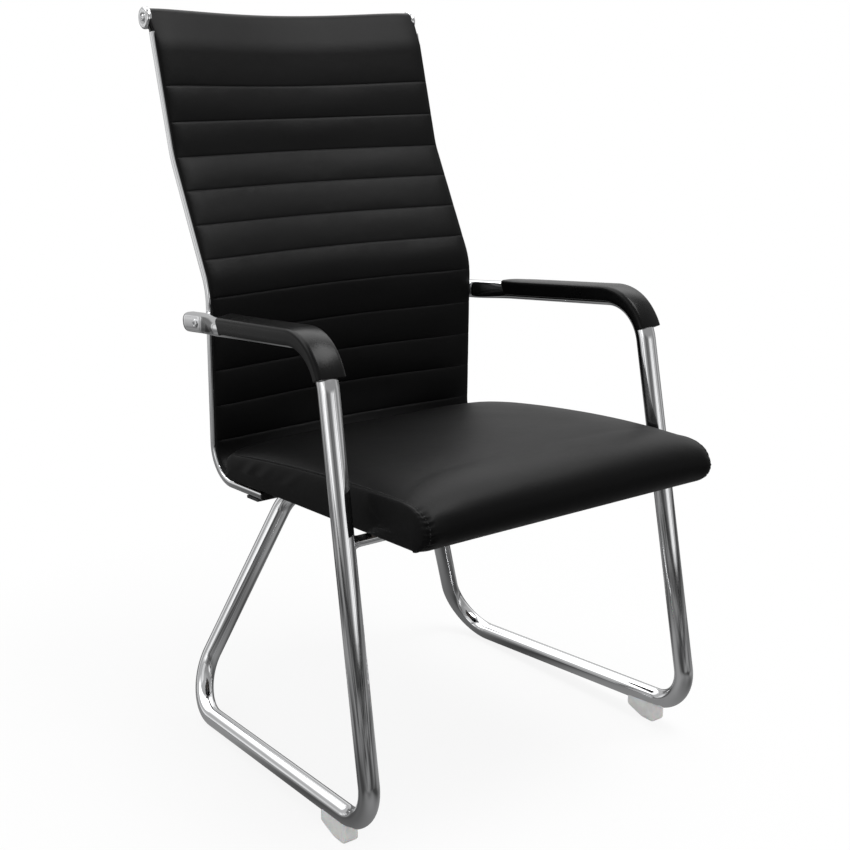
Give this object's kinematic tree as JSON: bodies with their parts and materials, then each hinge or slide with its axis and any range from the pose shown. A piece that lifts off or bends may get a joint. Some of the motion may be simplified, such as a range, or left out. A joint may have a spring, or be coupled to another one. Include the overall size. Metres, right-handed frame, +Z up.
{
  "type": "sled base visitor chair",
  "caption": "Visitor chair with a high ribbed sling back, a padded seat and capped armrests on a bent tube sled frame.",
  "frame": {"origin": "on the floor, below the middle of the chair's bounding box", "axes": "+Z up, the front of the chair faces -Y, +X towards the sitter's left"},
  "size_m": [0.6018, 0.732, 1.06],
  "materials": {
    "frame_chrome": "bright chrome plate",
    "black_leather": "fine grained, semi-gloss",
    "black_plastic": "satin moulded",
    "pale_rubber": "milky, matt",
    "seat_plywood": "dark stained plywood",
    "black_steel": "black powder coat"
  },
  "bodies": {
    "root": {"side_frame_left": "frame_chrome", "side_frame_right": "frame_chrome", "arm_bolt_left": "frame_chrome", "arm_bolt_right": "frame_chrome", "arm_shell_left": "black_plastic", "arm_shell_right": "black_plastic", "front_cross_tube": "frame_chrome", "back_rail_left": "frame_chrome", "back_rail_right": "frame_chrome", "rail_plug_left": "black_plastic", "rail_plug_right": "black_plastic", "head_bar": "black_steel", "head_cap_left": "frame_chrome", "head_cap_right": "frame_chrome", "head_cap_screw_left": "frame_chrome", "head_cap_screw_right": "frame_chrome", "rail_bracket_left": "black_plastic", "rail_bracket_right": "black_plastic", "back_sling": "black_leather", "back_spreader": "black_steel", "seat_board": "seat_plywood", "seat_cushion": "black_leather", "rear_plate": "black_steel", "rear_seat_screw_left": "black_steel", "rear_seat_screw_right": "black_steel", "front_seat_screw_left": "black_steel", "front_seat_screw_right": "black_steel", "foot_pad_left": "pale_rubber", "foot_pad_right": "pale_rubber"}
  },
  "joints": []
}
